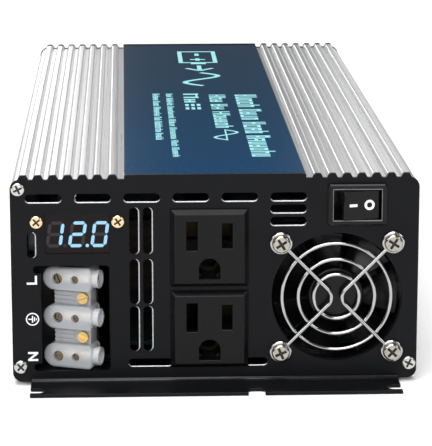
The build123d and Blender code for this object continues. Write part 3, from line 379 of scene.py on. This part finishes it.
NODE_MATERIALS = {
    "extruded_aluminium": ["top_shell"],
    "powder_coat": ["bottom_plate", "front_panel", "rear_panel"],
    "label_film": ["label_plate"],
    "zinc": ["front_corner_screws", "rear_corner_screws", "bottom_screws", "front_fan_nuts",
             "rear_fan_nuts", "board_screws", "ground_terminal", "dc_washers"],
    "nickel": ["front_fan_screws", "rear_fan_screws"],
    "clamp_screw": ["terminal_clamp_screws"],
    # the clamp screws' dark metal is painted shade of their wells
    "brass": ["terminal_block_screws", "terminal_inserts", "switch_terminals", "board_standoffs",
              "dc_studs", "dc_nuts"],
    # the outlet contacts carry the painted shade of their slots
    "painted_slot_shade": ["upper_outlet_contacts", "lower_outlet_contacts"],
    "copper_screw": ["display_screws"],
    "chrome": ["front_fan_guard", "rear_fan_guard"],
    "moulded": ["upper_outlet", "lower_outlet", "terminal_tray", "negative_base"],
    "gloss_black": ["switch_housing", "power_rocker"],
    "fan_black": ["front_fan_frame", "front_fan_rotor", "rear_fan_frame", "rear_fan_rotor"],
    "display": ["display_module"],
    "lit_segment": ["display_segments_lit"],
    "unlit_segment": ["display_segments_unlit"],
    "circuit_board": ["display_board", "main_board", "control_board"],
    "clear_nylon": ["terminal_block"],
    "red": ["live_sleeve", "positive_base"],
    "ferrite": ["transformer_cores", "choke_core"],
    "tape": ["transformer_windings"],
    "coil": ["choke_winding", "front_fan_stator", "rear_fan_stator"],
    "copper": ["bus_bars"],
    "sleeve": ["bulk_capacitors", "input_capacitors"],
    "epoxy": ["transistors"],
    "silicone": ["insulator_pads"],
    "bar": ["clamp_bars"],
    "fuse": ["blade_fuses"],
    "insulation": ["output_leads"],
}


def dress_nodes(materials):
    for name, nodes in NODE_MATERIALS.items():
        for node in nodes:
            for slot in frame["nodes"][node].material_slots:
                slot.material = materials[name]
                slot.link = "DATA"


# ---- edges ------------------------------------------------------------------------------------
SOFT_EDGES = {
    0.25: ["bottom_plate"],
    0.3: ["upper_outlet", "lower_outlet", "power_rocker", "terminal_tray"],
}
WELD_DISTANCE = 0.002      # millimetres
FLAT_ANGLE = 0.5           # degrees between two faces, below which they become one
SHARP_ANGLE = 35           # degrees between two faces, past which their edge is rounded
FRONT_PARTS = ("display_module", "terminal_tray", "front_fan_frame", "switch_housing",
               "upper_outlet", "lower_outlet", "display_screws")
REAR_PARTS = ("rear_fan_frame", "positive_base", "negative_base", "ground_terminal")
# rims of openings, in millimetres
PANEL_MARGIN = 4.5         # openings nearer than this to the panel's sides have no rim
BEZEL_MARGIN = 0.8
HIDDEN_MARGIN = -1.0       # openings inside a part's outline, grown by this much, are behind it
FACE_TOLERANCE = 0.01
# a rim is narrowest on its shaded sides and widest on its lit side, as a painted highlight
RIM_LEAST = 0.08
RIM_MOST = 0.45
BEZEL_RIM = 0.4
RIM_DEPTH = 0.9            # how far a rim lines the wall of its opening
RIM_RISE = 0.06            # how far it stands proud of the face
RIM_SUNK = 0.07            # how far it sinks into the metal on its narrow sides
RECESS_DEPTH = 0.2         # driver recesses lie deeper than this under a screw's head
SLANTED = 0.15             # a slanted face's normal has at least this much along an axis


def ridden(name, mesh, material, place=Matrix(), body="chassis"):
    """Turn finished mesh work into a piece that moves with a body."""
    bmesh.ops.recalc_face_normals(mesh, faces=mesh.faces)
    data = bpy.data.meshes.new(name)
    mesh.to_mesh(data)
    mesh.free()
    data.materials.append(material)
    piece = bpy.data.objects.new(name, data)
    piece.matrix_world = place
    bpy.context.scene.collection.objects.link(piece)
    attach(piece, body)


def soften(node, width):
    """Join the faces of one node and round its sharp edges slightly, so that they catch the light."""
    piece = frame["nodes"][node]
    weld = piece.modifiers.new("weld", "WELD")
    weld.merge_threshold = WELD_DISTANCE * MM
    flat = piece.modifiers.new("flat", "DECIMATE")
    flat.decimate_type = "DISSOLVE"
    flat.angle_limit = math.radians(FLAT_ANGLE)
    bevel = piece.modifiers.new("round", "BEVEL")
    bevel.width = width * MM
    bevel.segments = 2
    bevel.use_clamp_overlap = False
    bevel.harden_normals = True
    bevel.angle_limit = math.radians(SHARP_ANGLE)


def inside(point, low, high, margin):
    """Whether a point is within a box seen from the front, less a margin on each side."""
    across = low.x + margin < point.x < high.x - margin
    return across and low.z + margin < point.z < high.z - margin


def openings(node, face_y, margin, but_not=()):
    """The border loops of the openings in one flat face of a node, with the material on their left."""
    mesh = frame["nodes"][node].data
    shared = {}
    for polygon in mesh.polygons:
        for key in polygon.edge_keys:
            shared[key] = shared.get(key, 0) + 1
    following = {}
    for polygon in mesh.polygons:
        corners = list(polygon.vertices)
        if abs(polygon.normal.y) < 0.9 or abs(polygon.center.y - face_y) > FACE_TOLERANCE * MM:
            continue
        for start, end in zip(corners, corners[1:] + corners[:1]):
            if shared[min(start, end), max(start, end)] == 1:
                following[start] = end
    low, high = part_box(node)
    left_out = [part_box(name) for name in but_not]
    found = []
    while following:
        at, loop = next(iter(following)), []
        while at in following:
            loop.append(mesh.vertices[at].co.copy())
            at = following.pop(at)
        wanted = all(inside(point, low, high, margin * MM) for point in loop)
        hidden = any(all(inside(point, *box, HIDDEN_MARGIN * MM) for point in loop) for box in left_out)
        if wanted and not hidden:
            found.append(loop)
    return found


def punched_rims(name, loops, facing_y, least, most, material):
    """Rolled rims of punched openings, widest along the lower or right-hand side where the light falls
    and sunk away on the other sides: real bare edges shaped into a painted highlight.
    """
    normal = Vector((0, facing_y, 0))
    right = Vector((0, 0, 1)).cross(normal)
    mesh = bmesh.new()
    for loop in loops:
        across, high = ([point[axis] for point in loop] for axis in (0, 2))
        lies_flat = max(across) - min(across) > max(high) - min(high)
        lit_side = Vector((0, 0, -1)) if lies_flat else right
        rows = []
        for i, point in enumerate(loop):
            along = (loop[(i + 1) % len(loop)] - loop[i - 1]).normalized()
            away = normal.cross(along)
            # the rim widens towards the lit side: painted highlight
            share = max(0.0, away.dot(lit_side)) ** 1.5
            width = least + (most - least) * share
            sunk = RIM_SUNK * (1 - share) if least < most else 0.0
            # from the wall of the opening, over the roll and back under the face
            profile = ((-0.02, -RIM_DEPTH), (-0.04, 0.02), (0.3 * width, RIM_RISE),
                       (0.75 * width, 0.8 * RIM_RISE), (width, -0.01), (0.5 * width, -0.3))
            spots = [(out + sunk) * away + (up - sunk) * normal for out, up in profile]
            rows.append([mesh.verts.new(point + spot * MM) for spot in spots])
        for row, following in zip(rows, rows[1:] + rows[:1]):
            for i in range(len(row)):
                j = (i + 1) % len(row)
                mesh.faces.new((row[i], row[j], following[j], following[i])).smooth = True
    ridden(name, mesh, material)


def repaint(node, material, wanted):
    """Give the faces of a node for which wanted is true a further material."""
    mesh = frame["nodes"][node].data
    mesh.materials.append(material)
    for polygon in mesh.polygons:
        if wanted(polygon):
            polygon.material_index = len(mesh.materials) - 1


def darken_recesses(nodes, facing_y, material):
    """Painted shade in the bottom of the driver recesses of the screws: a dark material on the recess
    floors.
    """
    for node in nodes:
        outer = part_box(node)[0 if facing_y < 0 else 1].y

        def is_recess(face):
            return face.normal.y * facing_y > 0.9 and abs(face.center.y - outer) > RECESS_DEPTH * MM

        repaint(node, material, is_recess)


def in_flange_corner(face):
    """Whether a face of the bottom plate is in the rounded corner between a flange and its panel."""
    return abs(face.normal.y) > SLANTED and face.normal.z > SLANTED


def finish_edges(materials):
    for width, nodes in SOFT_EDGES.items():
        for node in nodes:
            soften(node, width)
    # the rounded flange corners get the lighter coat as a painted highlight along the bend
    repaint("bottom_plate", materials["bend_highlight_coat"], in_flange_corner)
    # painted shade on the floors of the driver recesses of the screws
    painted_recess_shade = materials["painted_recess_shade"]
    darken_recesses(["front_corner_screws", "display_screws", "front_fan_screws"], -1, painted_recess_shade)
    darken_recesses(["rear_corner_screws", "rear_fan_screws"], 1, painted_recess_shade)


def line_openings(materials):
    bare, bezel_rim_highlight = materials["bare_edge_highlight"], materials["painted_bezel_highlight"]
    front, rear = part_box("front_panel")[0].y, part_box("rear_panel")[1].y
    # vent rims, widest on their lit sides as painted highlights
    vents = openings("front_panel", front, PANEL_MARGIN, FRONT_PARTS)
    punched_rims("front_vent_rims", vents, -1, RIM_LEAST, RIM_MOST, bare)
    vents = openings("rear_panel", rear, PANEL_MARGIN, REAR_PARTS)
    punched_rims("rear_vent_rims", vents, 1, RIM_LEAST, RIM_MOST, bare)
    # grey rim in the switch bezel's window: painted highlight on its inner edge
    window = openings("switch_housing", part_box("switch_housing")[0].y, BEZEL_MARGIN)
    punched_rims("switch_highlight_rim", window, -1, BEZEL_RIM, BEZEL_RIM, bezel_rim_highlight)


# ---- printed marks ----------------------------------------------------------------------------
PRINT_T = 0.04 * MM
RING_STEPS = 40
WAVE_STEPS = 36


def bar(x0, y0, x1, y1, width):
    """Quadrilateral of one straight stroke."""
    start, end = Vector((x0, y0)), Vector((x1, y1))
    side = (end - start).normalized().orthogonal() * width / 2
    return [start - side, end - side, end + side, start + side]


def rectangle(x0, y0, x1, y1):
    return [Vector((x0, y0)), Vector((x1, y0)), Vector((x1, y1)), Vector((x0, y1))]


def ribbon(points, width):
    """Quadrilaterals of a stroke of even width along a smooth line of points."""
    points = [Vector(point) for point in points]
    edges = []
    for i, point in enumerate(points):
        before, after = points[max(i - 1, 0)], points[min(i + 1, len(points) - 1)]
        side = (after - before).normalized().orthogonal() * width / 2
        edges.append((point - side, point + side))
    return [[a[0], b[0], b[1], a[1]] for a, b in zip(edges, edges[1:])]


def ring(x, y, radius, width):
    """Quadrilaterals of a circular stroke, whose ends overlap."""
    turns = [2 * math.pi * i / RING_STEPS for i in range(-1, RING_STEPS + 2)]
    return ribbon([(x + radius * math.cos(t), y + radius * math.sin(t)) for t in turns], width)[1:-1]


def sine(x, y, length, height, width):
    """One period of a sine wave that starts at (x, y)."""
    line = []
    for i in range(WAVE_STEPS + 1):
        share = i / WAVE_STEPS
        line.append((x + length * share, y + height / 2 * math.sin(2 * math.pi * share)))
    return ribbon(line, width)


def printed(name, shapes, place, material, body="chassis"):
    """A layer of print: flat shapes in millimetres, raised along local z of place."""
    mesh = bmesh.new()
    for number, shape in enumerate(shapes):
        top = PRINT_T * (1 + 0.1 * (number % 4))      # overlapping strokes never share a plane
        low = [mesh.verts.new((point.x * MM, point.y * MM, 0)) for point in shape]
        high = [mesh.verts.new((point.x * MM, point.y * MM, top)) for point in shape]
        mesh.faces.new(high)
        mesh.faces.new(low[::-1])
        count = len(shape)
        for i in range(count):
            j = (i + 1) % count
            mesh.faces.new((low[i], low[j], high[j], high[i]))
    ridden(name, mesh, material, place, body)


def facing(origin, right, up):
    """Matrix of a flat place from its origin, reading direction and up direction."""
    right, up = Vector(right).normalized(), Vector(up).normalized()
    out = right.cross(up)
    turn = Matrix((right, up, out)).transposed().to_4x4()
    return Matrix.Translation(origin) @ turn


def dummy_letter(rng, x, height, capital):
    """A letter-sized mark that spells nothing: two uprights and a link between them."""
    stroke = 0.16 * height
    low_case = 0.74 * height
    width = rng.choice((0.44, 0.52, 0.60)) * height
    left_top = height if capital or rng.random() < 0.25 else low_case
    right_top = height if capital else low_case
    shapes = [rectangle(x, 0, x + stroke, left_top)]
    shapes.append(rectangle(x + width - stroke, 0, x + width, right_top))
    for link in rng.sample((0.0, 0.30, 0.59), rng.choice((1, 2))):
        link *= right_top / low_case
        shapes.append(rectangle(x + stroke, link * height, x + width - stroke, (link + 0.14) * height))
    return shapes, width


def dummy_line(rng, words, height, length):
    """Words of dummy letters, stretched to a given length along local x."""
    shapes = []
    x = 0.0
    letter_gap, word_gap = 0.16 * height, 0.42 * height
    for count in words:
        for position in range(count):
            letter, width = dummy_letter(rng, x, height, position == 0)
            shapes += letter
            x += width + letter_gap
        x += word_gap
    stretch = length / (x - word_gap - letter_gap)
    return [[Vector((point.x * stretch, point.y)) for point in shape] for shape in shapes]


# places on the film and on the panels are in millimetres from the frame's origin
MARK_ROWS_PLACE = (-6.9, 14.0)
WAVE_PLACE = (7.3, -72.0)
PICTOGRAM_PLACE = (2.4, 135.0)
# name, base line x, capital height, starting y, length and word lengths of each line on the film
LABEL_LINES = (
    ("print_title", 14.9, 9.2, 10.5, 137.0, (5, 4, 4, 7)),
    ("print_subtitle", 3.9, 7.0, 10.8, 78.0, (3, 2, 6)),
    ("print_marks", -6.9, 6.4, 14.0, 22.0, (2,)),
    ("print_note_one", -14.2, 2.8, 14.2, 140.0, (3, 6, 9, 5, 8, 4, 6)),
    ("print_note_two", -19.9, 3.0, 14.4, 106.0, (6, 4, 7, 3, 8, 5)),
)


def print_label(material):
    """Print on the blue film: it reads along -Y, with its tops towards +X."""
    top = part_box("label_plate")[1].z

    def on_film(x, y):
        return facing((x * MM, y * MM, top), (0, -1, 0), (1, 0, 0))

    rng = random.Random(4)
    for name, x, height, y, length, words in LABEL_LINES:
        printed(name, dummy_line(rng, words, height, length), on_film(x, y), material)
    printed("print_mark_rows", mark_rows(), on_film(*MARK_ROWS_PLACE), material)
    wave = sine(0.0, 0.0, 21.0, 9.0, 1.2) + [rectangle(-1.0, -0.3, 22.0, 0.3)]
    printed("print_wave", wave, on_film(*WAVE_PLACE), material)
    printed("print_pictogram", pictogram(), on_film(*PICTOGRAM_PLACE), material)


def mark_rows():
    """Two rows of three short dashes after the dummy marks."""
    dashes = []
    for row in range(2):
        for column in range(3):
            left = 26.0 + 8.0 * row
            bottom = 0.2 + 2.4 * column
            dashes.append(rectangle(left, bottom, left + 5.0, bottom + 1.5))
    return dashes


def pictogram():
    """Battery, arrow and sine wave: direct current in, alternating current out."""
    stroke = 2.0
    length, half = 34.0, 8.0
    corners = [Vector((x, y)) for x, y in ((0, -half), (length, -half), (length, half), (0, half))]
    shapes = []
    for start, end in zip(corners, corners[1:] + corners[:1]):
        over = (end - start).normalized() * stroke / 2
        shapes.append(bar(*(start - over), *(end + over), stroke))
    shapes.append(rectangle(length + 1.0, -3.5, length + 4.5, 3.5))
    shapes += [bar(6, 0, 13, 0, stroke), bar(21, 0, 28, 0, stroke), bar(24.5, -3.5, 24.5, 3.5, stroke)]
    shapes += [bar(43, 0, 57, 0, stroke), bar(51, 6, 58, 0, stroke), bar(51, -6, 58, 0, stroke)]
    shapes += sine(64.0, 0.0, 36.0, 15.0, 2.4)
    return shapes


# heights are above the foot of the panel
FRONT_MARK_X = -65.2
LIVE_Z = 37.6
EARTH_Z = 23.2
NEUTRAL_Z = 9.4
POLARITY_X = 48.0
POLARITY_Z = 54.0
REAR_EARTH_X = 19.5
REAR_EARTH_Z = 5.2


def print_front(material):
    """Terminal marks left of the output block; they read upwards."""
    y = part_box("front_panel")[0].y
    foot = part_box("front_panel")[0].z
    stroke = 0.75

    def place(z):
        return facing((FRONT_MARK_X * MM, y, foot + z * MM), (0, 0, 1), (-1, 0, 0))

    live = [bar(-1.3, -1.8, -1.3, 1.8, stroke), bar(-1.67, -1.45, 1.5, -1.45, stroke)]
    printed("mark_live", live, place(LIVE_Z), material)
    neutral = [bar(x, -1.8, x, 1.8, stroke) for x in (-1.3, 1.3)] + [bar(-1.3, 1.6, 1.3, -1.6, stroke)]
    printed("mark_neutral", neutral, place(NEUTRAL_Z), material)
    printed("mark_earth", earth_sign(), place(EARTH_Z), material)


def earth_sign():
    """Earth symbol in a ring."""
    shapes = ring(0.0, 0.0, 2.15, 0.42)
    shapes += [bar(0, 0, 0, 1.5, 0.42), bar(-1.25, 0, 1.25, 0, 0.42)]
    shapes += [bar(-0.8, -0.7, 0.8, -0.7, 0.38), bar(-0.35, -1.35, 0.35, -1.35, 0.34)]
    return shapes


def print_rear(material):
    """Polarity signs and the earth sign on the rear panel; they read from behind."""
    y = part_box("rear_panel")[1].y
    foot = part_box("rear_panel")[0].z

    def place(x, z):
        return facing((x * MM, y, foot + z * MM), (-1, 0, 0), (0, 0, 1))

    plus = [bar(-2.2, 0, 2.2, 0, 1.0), bar(0, -2.2, 0, 2.2, 1.0)]
    printed("mark_plus", plus, place(POLARITY_X, POLARITY_Z), material)
    printed("mark_minus", [bar(-2.2, 0, 2.2, 0, 1.0)], place(-POLARITY_X, POLARITY_Z), material)
    printed("mark_earth_rear", earth_sign(), place(REAR_EARTH_X, REAR_EARTH_Z), material)


ROCKER_TILT = 11.0         # degrees from the middle, as the rocker rests
ROCKER_REACH = 7.3         # pivot axis to the ends of the rocker face, millimetres
ROCKER_DISH = 0.45
ROCKER_HALF_W = 6.45


def print_rocker(material):
    """On and off marks on the two halves of the rocker face."""
    joint = next(joint for joint in frame["joints"] if joint["name"] == "rocker_tilt")
    tilt = Matrix.Rotation(math.radians(ROCKER_TILT), 4, "Z")
    pivot = Matrix.Translation(joint["pos_m"]) @ tilt
    slope = math.atan2(ROCKER_DISH, ROCKER_HALF_W)
    marks = (
        ("mark_on", -1, 3.0, [bar(-1.45, 0, 1.45, 0, 1.0)]),
        ("mark_off", 1, 2.9, ring(0, 0, 1.4, 0.9)),
    )
    for name, side, distance, shapes in marks:
        depth = -ROCKER_REACH + ROCKER_DISH * (1 - distance / ROCKER_HALF_W)
        lean = Matrix.Rotation(-side * slope, 4, "Z")
        spot = Matrix.Translation((side * distance * MM, depth * MM, 0)) @ lean
        place = pivot @ spot @ facing((0, 0, 0), (1, 0, 0), (0, 0, 1))
        printed(name, shapes, place, material, body="rocker")


# ---- scene ------------------------------------------------------------------------------------
make_camera()
make_world()
make_lights()
make_floor()
materials = make_materials()
dress_nodes(materials)
finish_edges(materials)
line_openings(materials)
print_label(materials["pale_print"])
print_front(materials["white_print"])
print_rear(materials["white_print"])
print_rocker(materials["white_print"])
